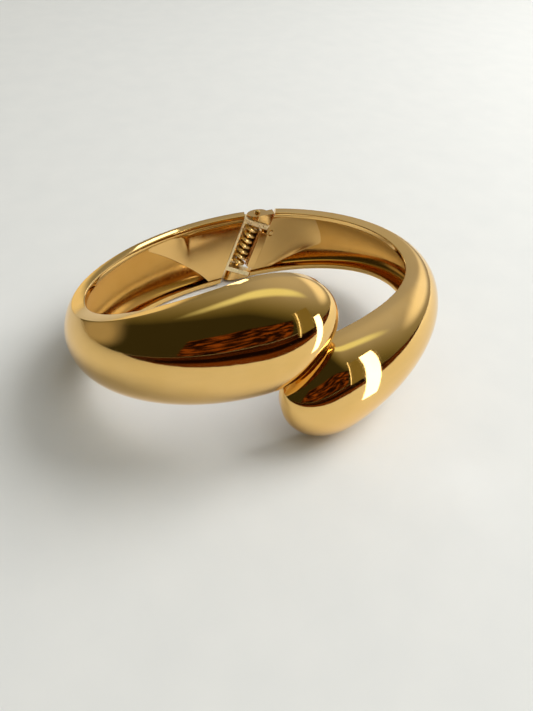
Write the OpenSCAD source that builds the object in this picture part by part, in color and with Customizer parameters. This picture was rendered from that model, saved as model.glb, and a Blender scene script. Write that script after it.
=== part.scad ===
// Hinged bypass bangle: two hollow half rings that end in overlapping teardrop lobes.
// The ring is drawn level, with its axis along Z and its hinge at the back (+Y).
// lying() then sets it down the way it leans when it lies on a table.

/* [Ring] */
// Inside width of the closed ring, side to side
inner_w = 59; // [54:0.5:66]
// Inside depth of the closed ring, back to front
inner_d = 43; // [40:0.5:52]
// How far the ring climbs from the hinge to the middle of each lobe
lobe_rise = 7.8; // [7:0.1:9.4]
// Thickness of the metal of both shells
wall = 1.1; // [0.8:0.05:1.4]

/* [Band] */
// Height of the band at the hinge
hinge_h = 15; // [13.5:0.1:17]
// Thickness of the band at the hinge, at its crown
hinge_t = 4; // [3.8:0.05:5]
// Height of the left half at its waist
left_waist_h = 12.2; // [10:0.1:14]
// Height of the right half at its waist
right_waist_h = 10.8; // [10:0.1:14]
// Flat rim of the open side of each half, at the waist
free_rim = 2.4; // [1.6:0.05:3]
// Flat rim of the side that faces the other lobe, at the waist
facing_rim = 2; // [1.6:0.05:3]

/* [Lobes] */
// Height of each lobe where it is fullest
lobe_h = 20; // [17:0.1:22]
// Thickness of the left lobe at its crown
left_lobe_t = 7.6; // [6:0.1:9]
// Thickness of the right lobe at its crown
right_lobe_t = 7.2; // [6:0.1:9]
// Width of the flat rim round each lobe
lobe_rim = 1.5; // [1.2:0.05:2]
// Where the left lobe ends, in degrees round the ring from its back
left_reach = 195; // [190:0.5:197]
// Where the right lobe ends, in degrees round the ring from its back
right_reach = 187; // [184:0.5:192]
// Length of the left lobe's round nose, in degrees
left_nose = 26; // [20:0.5:30]
// Length of the right lobe's round nose, in degrees
right_nose = 20.5; // [18:0.5:28]
// Gap between the two lobes when the bangle is shut
bypass_gap = 0.5; // [0.3:0.05:1]

/* [Hinge] */
// Place of the hinge, in degrees to the right of the middle of the back
hinge_shift = 8; // [0:0.5:12]
// Lean of the hinge pin to the right
hinge_lean = 32; // [20:0.5:36]
// Depth of the pin's centre behind the inside face of the ring
pin_depth = 1.9; // [1.7:0.05:2.2]
// Diameter of the hinge pin
pin_d = 1.2; // [0.9:0.05:1.25]
// Running clearance on radius between the pin and its bores
pin_clear = 0.04; // [0.02:0.01:0.08]
// Outside diameter of the two knuckles
knuckle_d = 4; // [3.6:0.05:4.4]
// Length of each knuckle along the pin
knuckle_len = 1.7; // [1.3:0.05:2.5]
// How far the knuckles stay inside the band's edges
knuckle_inset = 0.3; // [0.1:0.05:0.6]
// Width of each ear
ear_w = 5.7; // [5.3:0.1:6.2]
// Thickness of each ear and of the web between them
ear_t = 1; // [0.7:0.05:1.2]
// How far the ears stand proud of the inside face
ear_proud = 0.35; // [0:0.05:0.6]
// Clearance along the pin between ears and knuckles
end_play = 0.1; // [0.05:0.01:0.2]
// Gap between the ears' free ends and the right half
ear_gap = 0.3; // [0.2:0.05:0.5]
// Thickness of the plate let into the hinge end of each half
plate_t = 1.5; // [1:0.05:1.6]
// Where the left plate's tongue ends, in degrees from the back
left_tongue = 32; // [26:1:40]
// Where the right plate's tongue ends, in degrees from the back
right_tongue = 41; // [34:1:48]
// Angle up to which the left tongue keeps its full height
left_full = 8; // [5:1:12]
// Angle up to which the right tongue keeps its full height
right_full = 22; // [15:1:28]
// Share of its height that the left tongue keeps at its tip
left_tip_share = 0.14; // [0.1:0.02:0.5]
// Share of its height that the right tongue keeps at its tip
right_tip_share = 0.66; // [0.5:0.02:0.8]

/* [Spring] */
// Diameter of the spring wire
wire_d = 0.9; // [0.6:0.05:0.95]
// Clearance on radius between the pin and the coil
coil_clear = 0.15; // [0.1:0.01:0.2]
// Clearance on radius between the coil and its guard
guard_clear = 0.15; // [0.1:0.01:0.25]
// Thickness of the guard behind the coil
guard_t = 0.3; // [0.2:0.05:0.4]
// Whole turns in the coil
turns = 7; // [5:1:8]

/* [Resting place] */
// Lean of the ring towards the front as it lies
lie_front = -10.5; // [-12:0.1:-8]
// Lean of the ring towards the left as it lies
lie_side = -9.3; // [-12:0.1:-8]
// Place of the ring's middle, sideways from the middle of the whole bangle
lie_x = 0.14; // [-3:0.01:3]
// Place of the ring's middle, forward or back from the middle of the whole bangle
lie_y = 1.93; // [-4:0.01:4]
// Height of the ring's middle above the table
lie_z = 12.02; // [10:0.01:20]

/* [Hidden] */

gold = [0.83, 0.62, 0.28];
deep_gold = [0.72, 0.50, 0.20];
steel = [0.80, 0.70, 0.45];

LEFT = 1;
RIGHT = -1;
seam = 0.03;              // solder line between two pieces of one half
half_w = inner_w / 2;
half_d = inner_d / 2;
body_steps = 34;          // sections along the band of one half
nose_steps = 12;          // sections round the nose of one lobe
dome_step = 12;           // degrees between points over the crown
blend = 0.6;              // softness of the line where one lobe makes way for the other
shear_reach = 40;         // degrees over which the leaning hinge end straightens out
arc = $preview ? 48 : 64; // facets of the round hinge parts

// ---- the ring's own curve: an ellipse, 0 degrees at the back, positive to the left ----
function back_speed(t) = norm([half_w * cos(t), half_d * sin(t)]) * PI / 180;
function outward(t) = let (n = [-sin(t) / half_w, cos(t) / half_d]) n / norm(n);
function ring_point(t, r, z) =
    [-half_w * sin(t) + outward(t)[0] * r, half_d * cos(t) + outward(t)[1] * r, z];
function climb(t) = lobe_rise * t / 180;
function soft_min(a, b) =
    let (h = max(blend - abs(a - b), 0) / blend) min(a, b) - h * h * blend / 4;

// A size that is one value at the hinge, one at the waist and one at the lobe
function along(t, at_hinge, at_waist, at_lobe) =
    at_waist + ((abs(t) < 90 ? at_hinge : at_lobe) - at_waist) * cos(t) * cos(t);

function reach(side) = side == LEFT ? left_reach : right_reach;
function nose(side) = side == LEFT ? left_nose : right_nose;
function lobe_t(side) = side == LEFT ? left_lobe_t : right_lobe_t;
function waist_h(side) = side == LEFT ? left_waist_h : right_waist_h;
function round_off(side, inset, t) =
    let (n = nose(side) - inset, k = (side * t - reach(side) + nose(side)) / n)
    sqrt(max(0, 1 - pow(max(0, min(1, k)), 2)));

// Half the height of the band, before its nose is rounded off
function half_h(side, t) = along(t, hinge_h, waist_h(side), lobe_h) / 2;
crown_bias = 1.4;
function crown_t(side, t) =
    hinge_t + (lobe_t(side) - hinge_t) * pow((1 - cos(t)) / 2, crown_bias);
function rim_w(side, upper, t) =
    along(t, (free_rim + facing_rim) / 2, (side == LEFT) == upper ? free_rim : facing_rim, lobe_rim);

// The line that parts the lobes, where they pass each other at the front
pass_at = 180 + (left_reach - right_reach) / 2;
pass_slope = 0.42;
function parting(t) = pass_slope * (t - pass_at);
function room_to_part(side, t) =
    side * (climb(t) - parting(side == LEFT ? t : t + 360)) - bypass_gap / 2;

// ---- the hinge's place ----
hinge_at = -hinge_shift;
hinge_turn = atan2(half_d * sin(hinge_at), half_w * cos(hinge_at));
function end_x(side) = ear_w / 2 + (side == LEFT ? seam : ear_gap);
function end_angle(side, z) =
    hinge_at + (side * end_x(side) / cos(hinge_lean) - (z - climb(hinge_at)) * tan(hinge_lean))
             / back_speed(hinge_at);
function lean_shift(side, t, z) =
    let (f = max(0, 1 - abs(t - end_angle(side, climb(hinge_at))) / shear_reach))
    (end_angle(side, z) - end_angle(side, climb(hinge_at))) * f * f;

// ---- one skin of a shell: inset 0 is the outside, inset wall is the hollow ----
hollow_rim = 0.6;
dome_end = 78;
nose_end = 88;
profile = concat([[-1, 0, 0], [-1, 1, 0]],
                 [for (a = [-dome_end : dome_step : dome_end]) [sin(a), 1, cos(a)]],
                 [[1, 1, 0], [1, 0, 0]]);
points_round = len(profile);

function skin_z(side, t, v, inset, round) =
    let (h = (half_h(side, t) - inset) * round)
    climb(t) + v * (side * v < 0 ? soft_min(h, room_to_part(side, t) - inset) : h);

function skin_point(side, t, p, inset, round) =
    let (z1 = skin_z(side, t, p[0], inset, round),
         t1 = t + lean_shift(side, t, z1),
         z2 = skin_z(side, t1, p[0], inset, round),
         t2 = t + lean_shift(side, t, z2),
         rim = rim_w(side, p[0] > 0, t) * (inset > 0 ? hollow_rim : 1),
         crown = rim + (crown_t(side, t) - inset - rim) * round)
    ring_point(t2, rim * p[1] + (crown - rim) * p[2], skin_z(side, t2, p[0], inset, round));

function stations(side, inset) =
    let (from = side * end_angle(side, climb(hinge_at)),
         to = reach(side) - nose(side),
         cut = inset / back_speed(180),
         n = nose(side) - cut)
    concat([for (i = [0 : body_steps - 1]) from + (to - from) * i / body_steps],
           [for (i = [0 : nose_steps]) to + n * sin(nose_end * i / nose_steps)]);

function skin(side, inset) =
    let (cut = inset / back_speed(180))
    [for (s = stations(side, inset))
        [for (p = profile) skin_point(side, side * s, p, inset, round_off(side, cut, side * s))]];

function flat_list(a) = [for (row = a) each row];
function quad(a, b, c, d) = [[a, b, c], [a, c, d]];

// A closed trough: the outside skin, the hollow, and the rim that joins them
module shell(side) {
    rows = len(stations(side, 0));
    k = points_round;
    inner = rows * k;
    last = (rows - 1) * k;
    faces = concat(
        [for (i = [0 : rows - 2]) for (j = [0 : k - 2])
            each quad(i * k + j, (i + 1) * k + j, (i + 1) * k + j + 1, i * k + j + 1)],
        [for (i = [0 : rows - 2]) for (j = [0 : k - 2])
            each quad(inner + i * k + j, inner + i * k + j + 1,
                      inner + (i + 1) * k + j + 1, inner + (i + 1) * k + j)],
        [for (j = [0 : k - 2]) each quad(j, j + 1, inner + j + 1, inner + j)],
        [for (i = [0 : rows - 2])
            each quad(i * k, inner + i * k, inner + (i + 1) * k, (i + 1) * k)],
        [for (i = [0 : rows - 2])
            each quad(i * k + k - 1, (i + 1) * k + k - 1,
                      inner + (i + 1) * k + k - 1, inner + i * k + k - 1)],
        [for (j = [0 : floor(k / 2) - 2])
            each quad(last + j, last + k - 1 - j, last + k - 2 - j, last + j + 1)],
        [for (j = [0 : floor(k / 2) - 2])
            each quad(inner + last + j, inner + last + j + 1,
                      inner + last + k - 2 - j, inner + last + k - 1 - j)],
        quad(last, inner + last, inner + last + k - 1, last + k - 1));
    points = concat(flat_list(skin(side, 0)), flat_list(skin(side, wall)));
    polyhedron(points, side == RIGHT ? faces : [for (f = faces) [f[0], f[2], f[1]]], convexity = 8);
}

module left_shell() color(gold) lying() shell(LEFT);
module right_shell() color(gold) lying() shell(RIGHT);

// ---- hinge plates: tongues that close the trough at the hinge and taper along it ----
plate_steps = 16;
plate_gap = 0.08;
function plate_low(side, t) =
    let (full = side == LEFT ? left_full : right_full,
         tip = side == LEFT ? left_tongue : right_tongue,
         share = side == LEFT ? left_tip_share : right_tip_share)
    1 + (share - 1) * max(0, min(1, (side * t - full) / (tip - full)));
function plate_point(side, t, upper, deep) =
    let (z1 = plate_z(side, t, upper), t1 = t + lean_shift(side, t, z1),
         z2 = plate_z(side, t1, upper), t2 = t + lean_shift(side, t, z2))
    ring_point(t2, deep ? plate_t : 0, plate_z(side, t2, upper));
function plate_z(side, t, upper) =
    let (h = half_h(side, t) - wall - plate_gap, top = climb(t) + h)
    upper ? top : top - 2 * h * plate_low(side, t);
module hinge_plate(side) {
    from = side * end_angle(side, climb(hinge_at));
    to = side == LEFT ? left_tongue : right_tongue;
    rows = [for (i = [0 : plate_steps])
        let (t = side * (from + (to - from) * i / plate_steps))
        [plate_point(side, t, false, false), plate_point(side, t, false, true),
         plate_point(side, t, true, true), plate_point(side, t, true, false)]];
    faces = concat(
        [for (i = [0 : plate_steps - 1]) for (j = [0 : 3])
            each quad(i * 4 + j, (i + 1) * 4 + j, (i + 1) * 4 + (j + 1) % 4, i * 4 + (j + 1) % 4)],
        quad(0, 1, 2, 3),
        quad(plate_steps * 4 + 3, plate_steps * 4 + 2, plate_steps * 4 + 1, plate_steps * 4));
    polyhedron(flat_list(rows), side == RIGHT ? faces : [for (f = faces) [f[0], f[2], f[1]]]);
}

module left_hinge_plate() color(deep_gold) lying() hinge_plate(LEFT);
module right_hinge_plate() color(deep_gold) lying() difference() {
    hinge_plate(RIGHT);
    at_hinge()
        translate([leg_hole_x, 0, coil_end])
            rotate([90, 0, 0]) cylinder(d = wire_d + 2 * pin_clear, h = 3 * pin_depth, $fn = arc);
}

// ---- hinge parts, drawn round the pin: Z along the pin, +Y out of the ring, +X right ----
pin_r = pin_d / 2;
bore_r = pin_r + pin_clear;
knuckle_r = knuckle_d / 2;
coil_d = pin_d + 2 * (wire_d + coil_clear);
guard_in = coil_d / 2 + guard_clear;
guard_from = 12;
guard_step = 6;
guard_room = 0.15;
ear_r = guard_in - seam;
climb_slope = atan(climb(1) / back_speed(hinge_at));
knuckle_end = (hinge_h / 2 - knuckle_inset) / cos(hinge_lean - climb_slope);
stirrup_h = 2 * (knuckle_end - knuckle_len);
coil_r = (coil_d - wire_d) / 2;
leg_land = 0.5;
coil_end = stirrup_h / 2 - ear_t - end_play - wire_d / 2;
guard_h = 2 * (coil_end - wire_d / 2 - guard_room);
leg_hole_x = end_x(RIGHT) + wire_d / 2 + leg_land;
leg_fall = pow(leg_hole_x, 2) * half_d / (2 * pow(half_w, 2));
leg_y = plate_t - pin_depth + wire_d / 2 + seam;
web_top = coil_r - wire_d / 2 - seam;

module at_hinge() {
    translate(ring_point(hinge_at, 0, climb(hinge_at)))
        rotate([0, 0, hinge_turn])
            rotate([0, hinge_lean, 0])
                translate([0, pin_depth, 0])
                    children();
}

// The slab between the top and bottom edges of the band, which trims the knuckles
module band_slab() {
    translate([0, 0, climb(hinge_at)])
        rotate([0, climb_slope, 0])
            cube([3 * inner_w, 3 * inner_w, hinge_h - 2 * knuckle_inset], center = true);
}

module ear(z) {
    translate([0, 0, z]) {
        cylinder(r = ear_r, h = ear_t, $fn = arc);
        translate([-ear_w / 2, -pin_depth - ear_proud, 0])
            cube([ear_w, pin_depth + ear_proud, ear_t]);
    }
}

module spring_stirrup() color(gold) lying() at_hinge() difference() {
    union() {
        ear(stirrup_h / 2 - ear_t);
        ear(-stirrup_h / 2);
        translate([-ear_w / 2, -pin_depth, -stirrup_h / 2])
            cube([ear_t / 2, pin_depth + web_top, stirrup_h]);
    }
    cylinder(r = bore_r, h = 2 * stirrup_h, center = true, $fn = arc);
}

tab_rise = 0.6;
module knuckle_bar() {
    difference() {
        union() {
            cylinder(r = knuckle_r, h = stirrup_h, $fn = arc);
            translate([0, -pin_depth, 0])
                cube([end_x(RIGHT) - seam, pin_depth + tab_rise, stirrup_h]);
        }
        cylinder(r = bore_r, h = 3 * stirrup_h, center = true, $fn = arc);
    }
}

module upper_knuckle() color(gold) lying() intersection() {
    band_slab();
    at_hinge() translate([0, 0, stirrup_h / 2 + end_play]) knuckle_bar();
}

module lower_knuckle() color(gold) lying() intersection() {
    band_slab();
    at_hinge() translate([0, 0, -stirrup_h / 2 - end_play]) mirror([0, 0, 1]) knuckle_bar();
}

// A cover that runs from the left half's end round the coil, between the spring's two legs
function guard_line(r) =
    concat([for (a = [guard_from : guard_step : 90]) [r * cos(a), r * sin(a)]], [[-ear_w / 2, r]]);
module spring_guard() color(gold) lying() at_hinge() translate([0, 0, -guard_h / 2]) {
    inner = guard_line(guard_in);
    last = len(inner) - 1;
    linear_extrude(guard_h)
        polygon(concat(guard_line(guard_in + guard_t), [for (i = [last : -1 : 0]) inner[i]]));
}

pin_proud = 0.3;
pin_top = knuckle_end + pin_proud;
pin_bottom = knuckle_end - pin_proud;
module hinge_pin() color(steel) lying() at_hinge() {
    translate([0, 0, -pin_bottom])
        cylinder(r = pin_r, h = pin_bottom + pin_top - pin_r, $fn = arc);
    translate([0, 0, pin_top - pin_r])
        sphere(r = pin_r, $fn = arc);
}

// ---- torsion spring: coil, a leg on the web at the left, a hook in the right plate ----
wire_sides = 8;
coil_steps = 14;
last_angle = 45;
sweep_down = 360 * turns + 90 - last_angle;
coil_count = ceil(sweep_down / 360 * coil_steps);
function unit(v) = v / norm(v);
function coil_point(a, z) = [coil_r * cos(a), coil_r * sin(a), z];
bend_r = 0.7;
leg_ease = 0.28;
leg_over = 0.1;
spring_path = concat(
    [[-ear_w / 2 - leg_over, coil_r, -coil_end], [-coil_r, coil_r, -coil_end]],
    [for (i = [0 : coil_count])
        coil_point(90 - sweep_down * i / coil_count, coil_end * (2 * i / coil_count - 1))],
    let (start = coil_point(last_angle, coil_end),
         run = (start[1] - leg_y) / sin(last_angle),
         turn_x = start[0] + run * cos(last_angle))
    concat(
        [[turn_x - leg_ease, leg_y + leg_ease, coil_end], [turn_x + leg_ease, leg_y, coil_end]],
        [for (a = [90 : -30 : 0])
            [leg_hole_x + bend_r * (cos(a) - 1), leg_y - leg_fall + bend_r * (sin(a) - 1), coil_end]],
        [[leg_hole_x, -pin_depth + seam, coil_end]]));

function wire_ring(i) =
    let (n = len(spring_path) - 1,
         t = unit(spring_path[min(n, i + 1)] - spring_path[max(0, i - 1)]),
         side_way = unit(cross(t, [0, 0, 1])),
         up_way = cross(side_way, t))
    [for (j = [0 : wire_sides - 1])
        let (a = 360 * j / wire_sides)
        spring_path[i] + wire_d / 2 * (cos(a) * side_way + sin(a) * up_way)];

module torsion_spring() color(steel) lying() at_hinge() {
    rings = len(spring_path);
    s = wire_sides;
    faces = concat(
        [for (i = [0 : rings - 2]) for (j = [0 : s - 1])
            each quad(i * s + j, i * s + (j + 1) % s, (i + 1) * s + (j + 1) % s, (i + 1) * s + j)],
        [[for (j = [s - 1 : -1 : 0]) j]],
        [[for (j = [0 : s - 1]) (rings - 1) * s + j]]);
    polyhedron(flat_list([for (i = [0 : rings - 1]) wire_ring(i)]), faces, convexity = 10);
}

module lying() {
    translate([lie_x, lie_y, lie_z])
        rotate([lie_front, lie_side, 0])
            children();
}

left_shell();
right_shell();
left_hinge_plate();
right_hinge_plate();
spring_stirrup();
upper_knuckle();
lower_knuckle();
spring_guard();
hinge_pin();
torsion_spring();
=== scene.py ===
import math

import bpy
import bmesh
from mathutils import Matrix, Vector


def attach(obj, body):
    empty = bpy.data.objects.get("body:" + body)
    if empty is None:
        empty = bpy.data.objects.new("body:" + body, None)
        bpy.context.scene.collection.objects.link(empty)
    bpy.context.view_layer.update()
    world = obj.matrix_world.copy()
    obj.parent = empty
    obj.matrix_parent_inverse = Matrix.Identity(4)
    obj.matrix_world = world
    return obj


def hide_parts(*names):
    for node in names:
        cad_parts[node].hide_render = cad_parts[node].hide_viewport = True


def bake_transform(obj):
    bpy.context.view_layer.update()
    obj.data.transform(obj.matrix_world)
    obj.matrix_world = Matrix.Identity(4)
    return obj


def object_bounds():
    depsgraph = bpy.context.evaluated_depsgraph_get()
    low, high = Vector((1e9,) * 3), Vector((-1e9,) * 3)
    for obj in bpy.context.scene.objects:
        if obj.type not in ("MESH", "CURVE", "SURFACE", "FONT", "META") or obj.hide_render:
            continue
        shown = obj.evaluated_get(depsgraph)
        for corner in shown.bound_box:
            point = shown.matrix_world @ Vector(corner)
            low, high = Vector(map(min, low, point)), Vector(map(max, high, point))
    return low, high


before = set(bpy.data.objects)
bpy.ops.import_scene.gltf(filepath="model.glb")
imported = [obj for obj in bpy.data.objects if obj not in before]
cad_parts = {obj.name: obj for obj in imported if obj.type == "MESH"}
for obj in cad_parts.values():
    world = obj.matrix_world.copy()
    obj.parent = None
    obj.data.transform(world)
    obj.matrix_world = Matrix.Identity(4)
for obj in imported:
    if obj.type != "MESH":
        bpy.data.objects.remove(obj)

cad_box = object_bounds()

# ---- The two halves of the band ----
# Each half is a trough pressed from thin brass sheet and bent round the wrist, with its open side
# inwards and a blind nose at the front. One edge keeps a flat rim with a rolled crease, and the
# edge that faces the other half runs smoothly into the dome. Both are polished, then gold plated.
MM = 0.001
LEFT, RIGHT = 1, -1
BODY = {LEFT: "left_half", RIGHT: "right_half"}
WORD = {LEFT: "left", RIGHT: "right"}
half_w, half_d = 29.5, 21.5
lobe_rise = 7.8
wall = 1.1
hinge_h, lobe_h = 15, 20
hinge_t = 4
waist_h = {LEFT: 12.2, RIGHT: 10.8}
lobe_t = {LEFT: 7.6, RIGHT: 7.2}
reach = {LEFT: 195, RIGHT: 187}
nose = {LEFT: 26, RIGHT: 20.5}
free_rim, facing_rim, lobe_rim = 2.4, 2.0, 1.5
bypass_gap, pass_slope, meet_softness = 0.5, 0.42, 0.6
hollow_rim_share = 0.6
crown_bias = 1.4
crease_at_waist, crease_at_lobe, no_crease = 60, 80, 89
crease_round, lip_round, hollow_round = 0.34, 0.24, 0.16
corner_room, least_lip = 0.48, 0.05
hinge_at, hinge_lean, shear_reach = -8, 32, 40
ear_w, ear_gap, seam = 5.7, 0.3, 0.03
band_steps, nose_steps, dome_steps = 150, 34, 46
last_nose_angle = 89.3
weld = 0.000002
lie_front, lie_side = -10.5, -9.3
lie_move = Vector((0.14, 1.93, 12.02))
lying = Matrix.Rotation(math.radians(lie_side), 3, "Y") @ Matrix.Rotation(math.radians(lie_front), 3, "X")


def sin(angle):
    """The sine of an angle in degrees."""
    return math.sin(math.radians(angle))


def cos(angle):
    """The cosine of an angle in degrees."""
    return math.cos(math.radians(angle))


def at_rest(point):
    """A point of the upright ring, in mm, where it lies as the bangle rests, in metres."""
    return (lying @ Vector(point) + lie_move) * MM


def travel(t):
    """How far one degree goes along the ring, in mm."""
    return math.radians(math.hypot(half_w * cos(t), half_d * sin(t)))


def ring_point(t, out, up):
    """A point at angle t from the back of the ring, so far outside its inner face and so far up."""
    side_way, front_way = -sin(t) / half_w, cos(t) / half_d
    long = math.hypot(side_way, front_way)
    return (-half_w * sin(t) + out * side_way / long, half_d * cos(t) + out * front_way / long, up)


def climb(t):
    """How far the band's middle line has risen at angle t; the two noses end one above the other."""
    return lobe_rise * t / 180


def along(t, hinge, waist, lobe):
    """A size that changes from the hinge to the waist and on to the lobe."""
    return waist + ((hinge if abs(t) < 90 else lobe) - waist) * cos(t) ** 2


def soft_min(a, b):
    """The smaller of two sizes, with a soft change from one to the other."""
    near = max(meet_softness - abs(a - b), 0) / meet_softness
    return min(a, b) - near * near * meet_softness / 4


def end_angle(side, up):
    """The angle at which a half ends beside the leaning hinge."""
    across = ear_w / 2 + (seam if side == LEFT else ear_gap)
    lean = (up - climb(hinge_at)) * math.tan(math.radians(hinge_lean))
    return hinge_at + (side * across / cos(hinge_lean) - lean) / travel(hinge_at)


def leaned(side, t, up):
    """The angle t shifted so that the half's end runs along the leaning hinge."""
    middle = end_angle(side, climb(hinge_at))
    fade = max(0, 1 - abs(t - middle) / shear_reach)
    return t + (end_angle(side, up) - middle) * fade * fade


def on_band(side, t, out, up):
    """Where a point of the half's straight-ended pattern lies on the finished band."""
    once = leaned(side, t, up)
    twice = leaned(side, t, up + climb(once) - climb(t))
    return at_rest(ring_point(twice, out, up + climb(twice) - climb(t)))


def half_heights(side, t, inset, share):
    """How far the band reaches below and above its middle line."""
    free = (along(t, hinge_h, waist_h[side], lobe_h) / 2 - inset) * share
    middle = 180 + (reach[LEFT] - reach[RIGHT]) / 2
    line = pass_slope * ((t if side == LEFT else t + 360) - middle)
    facing = soft_min(free, side * (climb(t) - line) - bypass_gap / 2 - inset)
    return (facing, free) if side == LEFT else (free, facing)


def bend(corner, before, after, size, steps=4):
    """A corner rounded off over so many mm each way."""
    corner, before, after = Vector(corner), Vector(before), Vector(after)
    room = corner_room * min((before - corner).length, (after - corner).length)
    size = min(size, room)
    start = corner + (before - corner).normalized() * size
    stop = corner + (after - corner).normalized() * size
    shares = [i / steps for i in range(steps + 1)]
    return [start.lerp(corner, k).lerp(corner.lerp(stop, k), k) for k in shares]


def cut_across(side, t, inset, share):
    """The line of one skin from its lower lip to its upper lip, as (outwards, up) points."""
    low, high = half_heights(side, t, inset, share)
    middle = climb(t)
    crown = hinge_t + (lobe_t[side] - hinge_t) * ((1 - cos(t)) / 2) ** crown_bias
    waist_rim = (free_rim + facing_rim) / 2
    dome = []
    corners = {}
    for upper, height in ((False, low), (True, high)):
        is_free = (side == LEFT) == upper
        rim = along(t, waist_rim, free_rim if is_free else facing_rim, lobe_rim)
        rim *= hollow_rim_share if inset else 1
        edge = along(t, crease_at_waist, crease_at_waist, crease_at_lobe) if is_free else no_crease
        edge = no_crease if inset else edge
        swell = (crown - inset - rim) * share
        way = 1 if upper else -1
        corners[upper] = (rim, middle + way * height)
        half = []
        for i in range(1, dome_steps // 2):
            a = edge * (1 - 2 * i / dome_steps)
            out = rim + swell * (cos(a) - cos(edge)) / (1 - cos(edge))
            half.append((out, middle + way * height * sin(a) / sin(edge)))
        if upper:
            dome += [(rim + swell, middle)] + half[::-1]
        else:
            dome += half
    rounding = hollow_round if inset else lip_round
    lip = wall / 2 * min(1, max(least_lip, share))
    lip = -lip if inset else lip
    line = []
    foot, top = (0, corners[False][1]), (0, corners[True][1])
    line += bend(foot, (0, foot[1] + lip), corners[False], rounding)
    line += bend(corners[False], foot, dome[0], crease_round)
    line += [Vector(p) for p in dome]
    line += bend(corners[True], dome[-1], top, crease_round)
    line += bend(top, corners[True], (0, top[1] - lip), rounding)
    return line


def stations(side, inset):
    """The angles and the rounding-off share of each cut, from the hinge end to the tip."""
    short = inset / travel(180)
    length = nose[side] - short
    first = side * end_angle(side, climb(hinge_at))
    last = reach[side] - nose[side]
    straight = [(first + (last - first) * i / band_steps, 1) for i in range(band_steps)]
    turns = [last_nose_angle * i / nose_steps for i in range(nose_steps + 1)]
    return straight + [(last + length * sin(a), cos(a)) for a in turns]


def make_piece(name, points, faces, sharp=50, inner=()):
    """A smooth-shaded mesh object with sharp edges only where it turns by more than so many degrees.
    The faces numbered in inner take the object's second material."""
    mesh = bpy.data.meshes.new(name)
    mesh.from_pydata(points, [], faces)
    for i in inner:
        mesh.polygons[i].material_index = 1
    tidy = bmesh.new()
    tidy.from_mesh(mesh)
    bmesh.ops.remove_doubles(tidy, verts=tidy.verts, dist=weld)
    bmesh.ops.recalc_face_normals(tidy, faces=tidy.faces)
    tidy.to_mesh(mesh)
    tidy.free()
    mesh.shade_smooth()
    mesh.set_sharp_from_angle(angle=math.radians(sharp))
    piece = bpy.data.objects.new(name, mesh)
    bpy.context.scene.collection.objects.link(piece)
    return piece


def make_shell(side):
    """One half of the band: an outer skin and a hollow, joined along both lips and at both ends."""
    loops = []
    for (t, share), (t_in, share_in) in zip(stations(side, 0), stations(side, wall)):
        outer = [on_band(side, side * t, *p) for p in cut_across(side, side * t, 0, share)]
        hollow = [on_band(side, side * t_in, *p) for p in cut_across(side, side * t_in, wall, share_in)]
        loops.append(outer + hollow[::-1])
    count, row = len(loops[0]), len(loops[0]) // 2
    points = [p for loop in loops for p in loop]
    faces = []
    for i in range(len(loops) - 1):
        for j in range(count):
            a, b = i * count + j, i * count + (j + 1) % count
            faces.append((a, a + count, b + count, b))
    end = (len(loops) - 1) * count
    for j in range(row - 1):
        faces.append((j, j + 1, count - 2 - j, count - 1 - j))
    half = row // 2
    for skin in (end, end + row):
        for j in range(half - 1):
            faces.append((skin + j, skin + j + 1, skin + row - 2 - j, skin + row - 1 - j))
        faces.append((skin + half - 1, skin + half, skin + half + 1))
    faces.append((end, end + row - 1, end + row, end + count - 1))
    # The hollow's faces take the second material, whose darker colour is painted shade for the trough
    inner = [i * count + j for i in range(len(loops) - 1) for j in range(row, count - 1)]
    return make_piece(WORD[side] + "_band", points, faces, inner=inner)


def linear(code, alpha=1):
    """An sRGB hex colour as the linear values that a shader takes."""
    parts = [int(code[i:i + 2], 16) / 255 for i in (1, 3, 5)]
    return [p / 12.92 if p <= 0.04045 else ((p + 0.055) / 1.055) ** 2.4 for p in parts] + [alpha]


def add(tree, kind, settings=None, **inputs):
    """Adds one node; an input takes a number, a colour or another node's output."""
    node = tree.nodes.new(kind)
    for name, value in (settings or {}).items():
        setattr(node, name, value)
    for name, value in inputs.items():
        socket = node.inputs[int(name[1:])] if name[0] == "_" else node.inputs[name.replace("_", " ")]
        if isinstance(value, bpy.types.NodeSocket):
            tree.links.new(value, socket)
        else:
            socket.default_value = value
    return node


def per_mm(size):
    """The pattern scale, in metres, that makes a pattern of so many mm."""
    return 1 / (size * MM)


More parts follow.
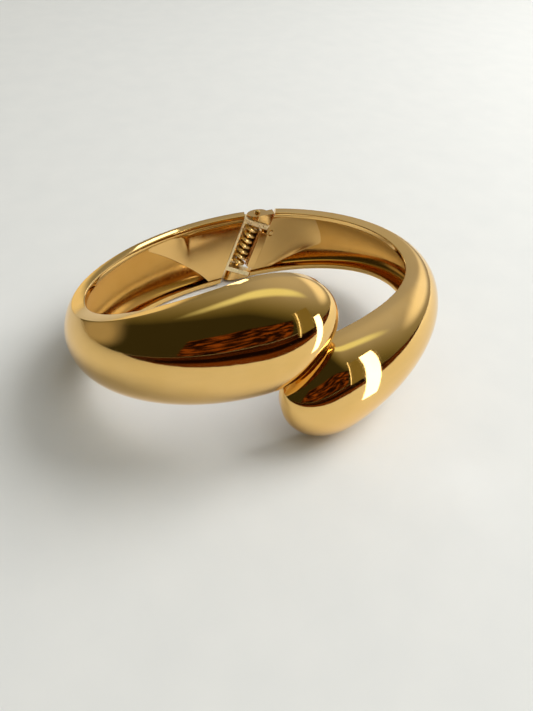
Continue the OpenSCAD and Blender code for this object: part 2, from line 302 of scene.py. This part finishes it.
def plated_gold(name, bright, deep, roughness, wave_mm, wave_depth_mm, grain_mm, grain_depth_mm):
    """Polished brass under gold plate: a mirror with soft waves, hairlines and faint clouds.
    Real polishing hairlines are finer, and are drawn this coarse so that they show at all."""
    cloud_mm, line_stretch = 6, 0.12
    sharpest, dullest = 0.7, 1.5
    material = bpy.data.materials.new(name)
    material.use_nodes = True
    tree = material.node_tree
    tree.nodes.clear()
    place = add(tree, "ShaderNodeTexCoord").outputs["Object"]
    cloud = add(tree, "ShaderNodeTexNoise", Vector=place, Scale=per_mm(cloud_mm), Detail=3)
    tint = add(tree, "ShaderNodeMix", {"data_type": "RGBA"}, _0=cloud.outputs["Fac"],
               _6=linear(bright), _7=linear(deep))
    stretch = add(tree, "ShaderNodeMapping", Vector=place, Scale=(1, 1, line_stretch))
    grain = add(tree, "ShaderNodeTexNoise", Vector=stretch.outputs[0], Scale=per_mm(grain_mm), Detail=4)
    polish = add(tree, "ShaderNodeMapRange", Value=grain.outputs["Fac"], From_Min=0.35, From_Max=0.7,
                 To_Min=roughness * sharpest, To_Max=roughness * dullest)
    wave = add(tree, "ShaderNodeTexNoise", Vector=place, Scale=per_mm(wave_mm), Detail=1)
    waves = add(tree, "ShaderNodeBump", Height=wave.outputs["Fac"], Strength=1,
                Distance=wave_depth_mm * MM)
    marks = add(tree, "ShaderNodeBump", Height=grain.outputs["Fac"], Strength=1,
                Distance=grain_depth_mm * MM, Normal=waves.outputs[0])
    metal = add(tree, "ShaderNodeBsdfPrincipled", Base_Color=tint.outputs["Result"], Metallic=1,
                Roughness=polish.outputs[0], Normal=marks.outputs[0])
    add(tree, "ShaderNodeOutputMaterial", Surface=metal.outputs[0])
    return material


# Mirror-polished yellow gold plate: sharp reflections with a slight swim from the hand polishing
band_gold = plated_gold("mirror polished gold plate", "#F5CC84", "#EDC070", roughness=0.06,
                        wave_mm=3, wave_depth_mm=0.012, grain_mm=0.25, grain_depth_mm=0.0004)
# Inside the trough the plate lies on the unpolished pressing, so it is less sharp; its deeper, warmer
# colour is painted shade for the hollow
shaded_trough_gold = plated_gold("unpolished gold plate with painted shade", "#E2AD5C", "#D29A48", roughness=0.14,
                          wave_mm=2, wave_depth_mm=0.008, grain_mm=0.3, grain_depth_mm=0.0008)
for side in (LEFT, RIGHT):
    band = make_shell(side)
    band.data.materials.append(band_gold)
    band.data.materials.append(shaded_trough_gold)
    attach(band, BODY[side])
    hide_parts(WORD[side] + "_shell")

# ---- Hinge plates ----
# Two flat tongues of brass strip, soldered across the open side at the back. Each closes the
# trough beside the hinge and fades into it further along. The right one has a lip and a hook hole.
plate_t, plate_gap = 1.5, 0.08
plate_rows = 60
plate_round = 0.35
tongue = {LEFT: 32, RIGHT: 41}
full_to = {LEFT: 8, RIGHT: 22}
tip_share = {LEFT: 0.14, RIGHT: 0.66}
feather = {LEFT: 15, RIGHT: 34}
feather_skin = 0.1
face_steps = 14
deepest = 0.999
tab_reach, tab_lip, tab_back, tab_overlap, tab_sag = 0.5, 0.6, 0.9, 0.4, 0.1
tab_round = 0.15
wire_d, pin_clear = 0.9, 0.04
pin_depth, pin_d = 1.9, 1.2
knuckle_inset, knuckle_len = 0.3, 1.7
leg_land = 0.5
ear_t, end_play = 1.0, 0.1
climb_slope = math.degrees(math.atan(climb(1) / travel(hinge_at)))
knuckle_end = (hinge_h / 2 - knuckle_inset) / cos(hinge_lean - climb_slope)
stirrup_h = 2 * (knuckle_end - knuckle_len)
coil_end = stirrup_h / 2 - ear_t - end_play - wire_d / 2
leg_hole_x = ear_w / 2 + ear_gap + wire_d / 2 + leg_land
hinge_turn = math.degrees(math.atan2(half_d * sin(hinge_at), half_w * cos(hinge_at)))
hinge_way = (Matrix.Rotation(math.radians(hinge_turn), 3, "Z")
             @ Matrix.Rotation(math.radians(hinge_lean), 3, "Y"))
hinge_base = Vector(ring_point(hinge_at, 0, climb(hinge_at)))


def at_hinge(x, y, z):
    """A point beside the pin, in mm: x to the right, y outwards, z up along the pin."""
    return at_rest(hinge_base + hinge_way @ Vector((x, y + pin_depth, z)))


def hollow_depth(side, t, up):
    """How deep the trough is at this height."""
    low, high = half_heights(side, t, wall, 1)
    height = max(0, min(deepest, (up - climb(t)) / high if up > climb(t) else (climb(t) - up) / low))
    crown = hinge_t + (lobe_t[side] - hinge_t) * ((1 - cos(t)) / 2) ** crown_bias
    rim = hollow_rim_share * (free_rim + facing_rim) / 2
    return rim + (crown - wall - rim) * math.sqrt(1 - height * height)


def feathered(side, t, point, share):
    """A point of the tongue, sunk towards the wall behind it as the tongue thins out."""
    back = hollow_depth(side, t, point.y) + feather_skin * point.x / plate_t
    return Vector((point.x + (back - point.x) * share, point.y))


def make_plate(side):
    """One hinge plate, cut across in rows from its end at the hinge to its tip."""
    first = side * end_angle(side, climb(hinge_at))
    loops = []
    for i in range(plate_rows + 1):
        t = first + (tongue[side] - first) * i / plate_rows
        h = half_heights(side, side * t, 0, 1)[side == LEFT] - wall - plate_gap
        top = climb(side * t) + h
        taper = min(1, max(0, (t - full_to[side]) / (tongue[side] - full_to[side])))
        low = top - 2 * h * (1 + (tip_share[side] - 1) * taper)
        corners = [(0, low), (plate_t, low), (plate_t, top), (0, top)]
        line = []
        for j, corner in enumerate(corners):
            size = plate_round if corner[0] == 0 else plate_round / 3
            line += bend(corner, corners[j - 1], corners[(j + 1) % 4], size)
            if j % 2:
                line += [line[-1].lerp(Vector(corners[(j + 1) % 4]), k / face_steps)
                         for k in range(1, face_steps)]
        share = min(1, max(0, (t - tongue[side] + feather[side]) / feather[side]))
        share = share * share * (3 - 2 * share)
        line = [feathered(side, side * t, p, share) for p in line]
        loops.append([on_band(side, side * t, *p) for p in line])
    count = len(loops[0])
    faces = [tuple(range(count)), tuple(range(count * plate_rows, count * (plate_rows + 1)))]
    for i in range(plate_rows):
        for j in range(count):
            a, b = i * count + j, i * count + (j + 1) % count
            faces.append((a, a + count, b + count, b))
    return make_piece(WORD[side] + "_plate", [p for loop in loops for p in loop], faces)


def cut_out(piece, tool):
    """Cuts the tool's solid out of the piece and throws the tool away."""
    cutter = piece.modifiers.new("cut", "BOOLEAN")
    cutter.object = tool
    cutter.operation = "DIFFERENCE"
    bpy.context.view_layer.update()
    done = bpy.data.meshes.new_from_object(piece.evaluated_get(bpy.context.evaluated_depsgraph_get()))
    piece.modifiers.remove(cutter)
    piece.data = done
    bpy.data.objects.remove(tool)


def make_rod(name, start, stop, radius, sides=48):
    """A plain round rod between two points, in metres, for cutting holes with."""
    start, stop = Vector(start), Vector(stop)
    turn = (stop - start).to_track_quat("Z", "Y").to_matrix()
    points, faces = [], []
    for end in (start, stop):
        for j in range(sides):
            a = 360 * j / sides
            points.append(end + turn @ Vector((radius * cos(a), radius * sin(a), 0)))
    faces.append(tuple(range(sides)))
    faces.append(tuple(range(sides, 2 * sides)))
    for j in range(sides):
        k = (j + 1) % sides
        faces.append((j, k, sides + k, sides + j))
    return make_piece(name, points, faces)


def make_prism(name, outline, bottom, top, sharp=30):
    """An outline in the hinge's own plane, carried up along the pin; each end may slope."""
    count = len(outline)
    points = [at_hinge(x, y, bottom(x, y)) for x, y in outline]
    points += [at_hinge(x, y, top(x, y)) for x, y in outline]
    faces = [tuple(range(count)), tuple(range(count, 2 * count))]
    for j in range(count):
        k = (j + 1) % count
        faces.append((j, k, count + k, count + j))
    return make_piece(name, points, faces, sharp)


def level(z):
    """A flat end for a prism."""
    return lambda x, y: z


def make_tab():
    """The return flange of the right plate: a lip that reaches in between the ears, past the guard."""
    far = ear_w / 2 + ear_gap + tab_overlap
    near = ear_w / 2 - tab_reach
    lip = near - tab_lip
    half = coil_end - wire_d / 2
    outline = [(lip, -pin_depth), (far, -pin_depth - tab_sag), (far, tab_back), (near, tab_back),
               (near, -pin_depth / 3), (lip, -pin_depth * 2 / 3)]
    return make_prism("right_plate_lip", outline, level(-half), level(half))


def soften_edges(piece, width, steps=3, limit=40):
    """Rounds every edge that turns sharply, as tumbling and polishing do."""
    edge = piece.modifiers.new("worn edges", "BEVEL")
    edge.width = width * MM
    edge.segments = steps
    edge.limit_method = "ANGLE"
    edge.angle_limit = math.radians(limit)
    edge.use_clamp_overlap = True
    edge.harden_normals = True


# Polished gold plate over rolled strip: flatter and a little less sharp than the pressed band
plate_gold = plated_gold("polished gold plate on strip", "#F4CA82", "#ECBE72", roughness=0.09,
                         wave_mm=2, wave_depth_mm=0.006, grain_mm=0.2, grain_depth_mm=0.0006)
for side in (LEFT, RIGHT):
    plate = make_plate(side)
    if side == RIGHT:
        drill = make_rod("drill", at_hinge(leg_hole_x, -2 * pin_depth, coil_end),
                         at_hinge(leg_hole_x, pin_depth, coil_end), (wire_d / 2 + pin_clear) * MM)
        cut_out(plate, drill)
        lip = make_tab()
        lip.data.materials.append(plate_gold)
        soften_edges(lip, tab_round)
        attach(lip, BODY[side])
    plate.data.materials.clear()
    plate.data.materials.append(plate_gold)
    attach(plate, BODY[side])
    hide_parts(WORD[side] + "_hinge_plate")

# ---- Stirrup and guard ----
# The stirrup is a U of brass strip soldered to the left half: a thin web with an ear at each end,
# bored for the pin. The guard is a thin curved cover on the same half, round the coil's back and right.
ear_proud = 0.35
guard_clear, guard_t, guard_room = 0.15, 0.3, 0.15
guard_from, guard_step = -42, 6
coil_clear = 0.15
coil_r = pin_d / 2 + coil_clear + wire_d / 2
guard_in = coil_r + wire_d / 2 + guard_clear
ear_r = guard_in - seam
web_t = ear_t / 2
web_top = coil_r - wire_d / 2 - seam
ear_shoulder = 150
ear_round, guard_round = 0.2, 0.08


def arc_points(radius, start, stop, step=6):
    """Points round the pin, from one angle to another."""
    count = max(1, round(abs(stop - start) / step))
    angles = [start + (stop - start) * i / count for i in range(count + 1)]
    return [(radius * cos(a), radius * sin(a)) for a in angles]


def bore(piece, radius):
    """Drills the pin's hole through a hinge piece."""
    cut_out(piece, make_rod("drill", at_hinge(0, 0, -hinge_h), at_hinge(0, 0, hinge_h), radius * MM))


ear_side = ear_w / 2
front = -pin_depth - ear_proud
outline = [(-ear_side, front), (ear_side, front), (ear_side, 0)]
outline += arc_points(ear_r, 0, ear_shoulder)
outline += [(-ear_side + web_t, web_top), (-ear_side, web_top)]
stirrup = make_prism("stirrup", outline, level(-stirrup_h / 2), level(stirrup_h / 2))
inside = [(-ear_side + web_t, 2 * front), (2 * ear_w, 2 * front), (2 * ear_w, ear_w),
          (-ear_side + web_t, ear_w)]
between = stirrup_h / 2 - ear_t
cut_out(stirrup, make_prism("gap", inside, level(-between), level(between)))
bore(stirrup, pin_d / 2 + pin_clear)
soften_edges(stirrup, ear_round)
guard_line = arc_points(guard_in, guard_from, 90, guard_step) + [(-ear_side, guard_in)]
outer_line = arc_points(guard_in + guard_t, guard_from, 90, guard_step)
outer_line.append((-ear_side, guard_in + guard_t))
guard_h = coil_end - wire_d / 2 - guard_room
guard = make_prism("coil_guard", outer_line + guard_line[::-1], level(-guard_h), level(guard_h))
soften_edges(guard, guard_round)
# The strip was only tumbled before plating, so it blurs what it mirrors; its near-white colour is a
# painted highlight that makes the ears read bright
strip_gold_painted_highlight = plated_gold("tumbled gold plate with painted highlight", "#FFF0C4", "#FBE2A8", roughness=0.34,
                         wave_mm=1, wave_depth_mm=0.004, grain_mm=0.15, grain_depth_mm=0.001)
for piece, node, gold in ((stirrup, "spring_stirrup", strip_gold_painted_highlight), (guard, "spring_guard", plate_gold)):
    piece.data.materials.clear()
    piece.data.materials.append(gold)
    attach(piece, BODY[LEFT])
    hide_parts(node)

# ---- Knuckles and pin ----
# Two brass knuckles on the right half stand outside the ears, trimmed level with the band's
# edges. The steel pin is pushed through all four bores and its upper end is peened to a dome.
tab_rise = 0.6
pin_proud = 0.3


def band_edge(way):
    """The height along the pin at which a point reaches the trimmed edge of the band."""
    across = Vector((sin(climb_slope), 0, cos(climb_slope)))
    centre = Vector((0, 0, climb(hinge_at)))
    reach_up = hinge_h / 2 - knuckle_inset

    def height(x, y):
        """Where a line along the pin through (x, y) meets the edge."""
        flat = hinge_base - centre + hinge_way @ Vector((x, y + pin_depth, 0))
        return (way * reach_up - across.dot(flat)) / across.dot(hinge_way @ Vector((0, 0, 1)))
    return height


knuckle_r, knuckle_round = 2.0, 0.18
tab_end = ear_w / 2 + ear_gap - seam
tab_low = math.degrees(math.asin(pin_depth / knuckle_r))
tab_high = math.degrees(math.asin(tab_rise / knuckle_r))
outline = arc_points(knuckle_r, tab_high, 360 - tab_low) + [(tab_end, -pin_depth), (tab_end, tab_rise)]
for way, name in ((1, "upper_knuckle"), (-1, "lower_knuckle")):
    inner_end = level(way * (stirrup_h / 2 + end_play))
    knuckle = make_prism(name + "_cast", outline, inner_end, band_edge(way))
    bore(knuckle, pin_d / 2 + pin_clear)
    soften_edges(knuckle, knuckle_round)
    knuckle.data.materials.clear()
    knuckle.data.materials.append(plate_gold)
    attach(knuckle, BODY[RIGHT])
    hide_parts(name)

# Gold-washed steel, turned and burnished: tighter rings and a paler colour than the band
pin_gold = plated_gold("burnished gold-washed steel", "#EFC883", "#DDAE60", roughness=0.14,
                       wave_mm=1.5, wave_depth_mm=0.004, grain_mm=0.12, grain_depth_mm=0.0008)
pin_sides, dome_rows = 48, 10
pin_r = pin_d / 2
pin_chamfer = 0.2
rings = [(pin_r * (1 - pin_chamfer), -knuckle_end + pin_proud),
         (pin_r, -knuckle_end + (1 + pin_chamfer) * pin_proud)]
dome_base = knuckle_end + pin_proud - pin_r
for i in range(dome_rows):
    a = 90 * i / dome_rows
    rings.append((pin_r * cos(a), dome_base + pin_r * sin(a)))
points, faces = [], []
for r, z in rings:
    points += [at_hinge(r * cos(360 * j / pin_sides), r * sin(360 * j / pin_sides), z)
               for j in range(pin_sides)]
for i in range(len(rings) - 1):
    for j in range(pin_sides):
        a, b = i * pin_sides + j, i * pin_sides + (j + 1) % pin_sides
        faces.append((a, b, b + pin_sides, a + pin_sides))
faces += [tuple(range(pin_sides)), tuple(range(len(points) - pin_sides, len(points)))]
pin = make_piece("riveted_pin", points, faces)
pin.data.materials.append(pin_gold)
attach(pin, BODY[RIGHT])
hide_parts("hinge_pin")

# ---- Torsion spring ----
# Round steel wire wound left-handed round the pin. Its lower leg bears on the stirrup's web and
# its upper leg hooks into the hole in the right plate, so that it closes the bangle.
turns = 7
last_angle = 45
hook_bend, leg_ease, leg_over = 0.7, 0.28, 0.1
wire_sides, coil_steps, hook_step = 16, 40, 15
leg_fall = leg_hole_x ** 2 * half_d / (2 * half_w ** 2)


def wire_path():
    """The middle of the wire: the lower leg, the turns round the pin, the upper leg and its hook."""
    leg_y = plate_t - pin_depth + wire_d / 2 + seam
    sweep = 360 * turns + 90 - last_angle
    steps = round(sweep / 360 * coil_steps)
    path = [(-ear_w / 2 - leg_over, coil_r, -coil_end), (-coil_r, coil_r, -coil_end)]
    for i in range(steps + 1):
        a = 90 - sweep * i / steps
        path.append((coil_r * cos(a), coil_r * sin(a), coil_end * (2 * i / steps - 1)))
    turn_x = coil_r * cos(last_angle) + coil_r * sin(last_angle) - leg_y
    path.append((turn_x - leg_ease, leg_y + leg_ease, coil_end))
    path.append((turn_x + leg_ease, leg_y, coil_end))
    for a in range(90, -1, -hook_step):
        x, y = leg_hole_x + hook_bend * (cos(a) - 1), leg_y - leg_fall + hook_bend * (sin(a) - 1)
        path.append((x, y, coil_end))
    path.append((leg_hole_x, -pin_depth + seam, coil_end))
    return [at_hinge(*p) for p in path]


def sweep_wire(name, path, radius, sides):
    """A round wire along a path, in metres."""
    along_pin = at_hinge(0, 0, 1) - at_hinge(0, 0, 0)
    points, faces = [], []
    for i, p in enumerate(path):
        way = (path[min(i + 1, len(path) - 1)] - path[max(i - 1, 0)]).normalized()
        across = way.cross(along_pin).normalized()
        up = across.cross(way)
        for j in range(sides):
            a = 360 * j / sides
            points.append(p + radius * (cos(a) * across + sin(a) * up))
    for i in range(len(path) - 1):
        for j in range(sides):
            a, b = i * sides + j, i * sides + (j + 1) % sides
            faces.append((a, b, b + sides, a + sides))
    faces += [tuple(range(sides)), tuple(range(len(points) - sides, len(points)))]
    return make_piece(name, points, faces)


# Drawn spring wire with a gold wash: fine draw marks along it, a touch duller than the plate; its pale
# colour is painted light that brightens the coil
wire_gold_painted_light = plated_gold("gold-washed spring wire with painted light", "#FFE0A0", "#F0C878", roughness=0.26,
                        wave_mm=1.2, wave_depth_mm=0.003, grain_mm=0.1, grain_depth_mm=0.0006)
spring = sweep_wire("spring_coil", wire_path(), wire_d / 2 * MM, wire_sides)
spring.data.materials.append(wire_gold_painted_light)
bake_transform(spring)
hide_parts("torsion_spring")

# ---- Floor, lights and camera ----
# A pale matt floor in soft light, mostly from the right. Cards out of shot give the polished metal
# a dark table, a window, walls and a ceiling to mirror, because a bare studio leaves gold flat.
middle = (cad_box[0] + cad_box[1]) / 2
streak_share, streak_stretch = 0.16, 5
fade_from = 0.3


def make_sheet(name, width, height):
    """A flat sheet that belongs to the stage."""
    w, h = width / 2, height / 2
    mesh = bpy.data.meshes.new(name)
    mesh.from_pydata([(-w, -h, 0), (w, -h, 0), (w, h, 0), (-w, h, 0)], [], [(0, 1, 2, 3)])
    sheet = bpy.data.objects.new(name, mesh)
    bpy.context.scene.collection.objects.link(sheet)
    return sheet


def from_middle(azimuth, elevation, distance):
    """A place seen from the bangle: azimuth 0 is the front, 90 is the left, in degrees."""
    return middle + distance * Vector((-sin(azimuth) * cos(elevation), -cos(azimuth) * cos(elevation),
                                       sin(elevation)))


def make_card(name, place, width, height, colour, strength, streaks=None, soft=False):
    """A lit card out of shot that faces the bangle and shows in the metal only. It may have streaks
    of a second colour along it, as wood grain has, or a soft edge."""
    card = make_sheet(name, width, height)
    card.location = place
    card.rotation_euler = (middle - place).to_track_quat("Z", "Y").to_euler()
    card.visible_camera = card.visible_shadow = card.visible_diffuse = False
    paint = bpy.data.materials.new(name + " paint")
    paint.use_nodes = True
    tree = paint.node_tree
    tree.nodes.clear()
    glow = add(tree, "ShaderNodeEmission", Color=linear(colour), Strength=strength)
    if streaks:
        spot = add(tree, "ShaderNodeMapping", Scale=(1, streak_stretch, 1),
                   Vector=add(tree, "ShaderNodeTexCoord").outputs["Object"])
        lines = add(tree, "ShaderNodeTexNoise", Vector=spot.outputs[0], Detail=3,
                    Scale=1 / (width * streak_share))
        edge = add(tree, "ShaderNodeMapRange", Value=lines.outputs["Fac"], From_Min=0.48, From_Max=0.62)
        mix = add(tree, "ShaderNodeMix", {"data_type": "RGBA"}, _0=edge.outputs[0],
                  _6=linear(colour), _7=linear(streaks))
        tree.links.new(mix.outputs["Result"], glow.inputs["Color"])
    shown = glow.outputs[0]
    if soft:
        spot = add(tree, "ShaderNodeVectorMath", {"operation": "MULTIPLY_ADD"}, _1=(2, 2, 0),
                   _2=(-1, -1, 0), _0=add(tree, "ShaderNodeTexCoord").outputs["Generated"])
        far = add(tree, "ShaderNodeVectorMath", {"operation": "LENGTH"}, _0=spot.outputs[0])
        fade = add(tree, "ShaderNodeMapRange", {"interpolation_type": "SMOOTHSTEP"},
                   Value=far.outputs["Value"], From_Min=1, From_Max=fade_from)
        shown = add(tree, "ShaderNodeMixShader", _0=fade.outputs[0],
                    _1=add(tree, "ShaderNodeBsdfTransparent").outputs[0], _2=shown).outputs[0]
    add(tree, "ShaderNodeOutputMaterial", Surface=shown)
    card.data.materials.append(paint)
    return card


# Matt board: a faint mottle and no sheen, so the bangle's soft shadow reads
floor_w, speck_mm = 3, 9
floor = make_sheet("floor", floor_w, floor_w)
floor_paint = bpy.data.materials.new("matt pale board")
floor_paint.use_nodes = True
board = floor_paint.node_tree
board.nodes.clear()
speck = add(board, "ShaderNodeTexNoise", Vector=add(board, "ShaderNodeTexCoord").outputs["Object"],
            Scale=per_mm(speck_mm), Detail=4)
tone = add(board, "ShaderNodeMix", {"data_type": "RGBA"}, _0=speck.outputs["Fac"],
           _6=linear("#E4E4E0"), _7=linear("#DCDDDA"))
matt = add(board, "ShaderNodeBsdfPrincipled", Base_Color=tone.outputs["Result"], Roughness=0.75)
add(board, "ShaderNodeOutputMaterial", Surface=matt.outputs[0])
floor.data.materials.append(floor_paint)

# A dark wooden table and cupboard in front make the dark band across both lobes
table_gap, table_w, table_d, above_floor = 0.05, 2.4, 1.0, 0.0008
table_place = Vector((0, cad_box[0].y - table_gap - table_d / 2, above_floor))
table = make_card("dark table", table_place, table_w, table_d, "#140803", 1, "#6E3A16")
table.rotation_euler = (0, 0, 0)
make_card("low cupboard", from_middle(14, 13, 0.5), 0.75, 0.22, "#1C0C04", 1, "#8A4A1C")
# A window and the pane beside it make the hard bright shapes near both tips
make_card("window", Vector((0.0255, -0.0395, 0.0140)), 0.006, 0.038, "#FFFFFF", 4.5)
make_card("window slit", from_middle(-25, 14, 0.12), 0.002, 0.07, "#FFF4DC", 2)
make_card("side panel", from_middle(-36, 10, 0.3), 0.1, 0.22, "#7E7448", 1)
# Soft pale walls and a long ceiling light make the broad gradients and the rims' highlights
make_card("left wall", from_middle(124, 8, 0.5), 0.6, 0.3, "#A89E86", 1, soft=True)
make_card("bright wall", from_middle(-108, 21, 0.5), 0.8, 0.32, "#FFFFFF", 1.1, soft=True)
make_card("back window", from_middle(179.5, 16, 0.5), 0.05, 0.08, "#FFFFFF", 3.2)
make_card("back wall", from_middle(166, 4, 0.52), 0.2, 0.16, "#E8DDB8", 1.1, soft=True)
ceiling = make_card("ceiling light", from_middle(-40, 81, 0.5), 1.3, 0.24, "#F4FFDC", 1.0, soft=True)
ceiling_turn = -18
ceiling.rotation_euler = (math.pi, 0, math.radians(ceiling_turn))


def make_lamp(name, kind, place, energy):
    """A soft lamp that points at the bangle and isn't itself mirrored in it."""
    light = bpy.data.lights.new(name, kind)
    light.energy = energy
    lamp = bpy.data.objects.new(name, light)
    bpy.context.scene.collection.objects.link(lamp)
    lamp.location = place
    lamp.visible_glossy = False
    lamp.rotation_euler = (middle - place).to_track_quat("-Z", "Y").to_euler()
    return lamp


def make_round_lamp(name, place, size, energy):
    """A soft lamp with a round face."""
    lamp = make_lamp(name, "AREA", place, energy)
    lamp.data.shape = "DISK"
    lamp.data.size = size
    return lamp


make_round_lamp("key", from_middle(-94, 42, 0.6), 0.4, 2.9)
make_round_lamp("fill", from_middle(-15, 50, 0.8), 0.8, 0.8)
even_spread = 60
even_lamp = make_lamp("even light", "SUN", from_middle(-80, 55, 1), 0.8)
even_lamp.data.angle = math.radians(even_spread)
# A small lamp over the front that only the stirrup and the coil take, so that they glint
glint = make_round_lamp("hinge glint", from_middle(-12, 26, 0.25), 0.1, 0.3)
glint.visible_glossy = True
hinge_parts = bpy.data.collections.new("lit hinge")
hinge_parts.objects.link(stirrup)
hinge_parts.objects.link(spring)
glint.light_linking.receiver_collection = hinge_parts

# The room is brightest to the right and overhead, and turns yellower where it is dim
world = bpy.data.worlds.new("soft room")
bpy.context.scene.world = world
world.use_nodes = True
sky = world.node_tree
sky.nodes.clear()
toward_light = Vector((0.31, 0.23, 0.39))
dimmest, yellow_below, white_above = 0.035, 0.1, 0.42
room = add(sky, "ShaderNodeTexCoord").outputs["Generated"]
share = add(sky, "ShaderNodeVectorMath", {"operation": "DOT_PRODUCT"}, _0=room, _1=toward_light)
glow = add(sky, "ShaderNodeMath", {"operation": "MAXIMUM"}, _0=share.outputs["Value"], _1=dimmest)
shade = add(sky, "ShaderNodeMapRange", Value=glow.outputs[0], From_Min=yellow_below,
            From_Max=white_above)
tone = add(sky, "ShaderNodeMix", {"data_type": "RGBA"}, _0=shade.outputs[0], _6=linear("#FFF3A0"),
           _7=linear("#FAFBFF"))
air = add(sky, "ShaderNodeBackground", Color=tone.outputs["Result"], Strength=glow.outputs[0])
backdrop = add(sky, "ShaderNodeBackground", Color=linear("#DCDDDA"))
seen = add(sky, "ShaderNodeMixShader", _1=air.outputs[0], _2=backdrop.outputs[0],
           _0=add(sky, "ShaderNodeLightPath").outputs["Is Camera Ray"])
add(sky, "ShaderNodeOutputWorld", Surface=seen.outputs[0])
bpy.context.scene.view_settings.view_transform = "Standard"

camera_data = bpy.data.cameras.new("camera")
camera_data.lens = 28.14
camera_data.sensor_width = 36
camera_data.clip_start = 0.005
camera = bpy.data.objects.new("camera", camera_data)
bpy.context.scene.collection.objects.link(camera)
camera.location = Vector((-27.3, -75.3, 81.0)) * MM
to_right, down, roll = 21.55, 45.95, 3.8
look = Vector((sin(to_right) * cos(down), cos(to_right) * cos(down), -sin(down)))
camera.rotation_euler = (look.to_track_quat("-Z", "Y").to_matrix()
                         @ Matrix.Rotation(math.radians(roll), 3, "Z")).to_euler()
bpy.context.scene.camera = camera
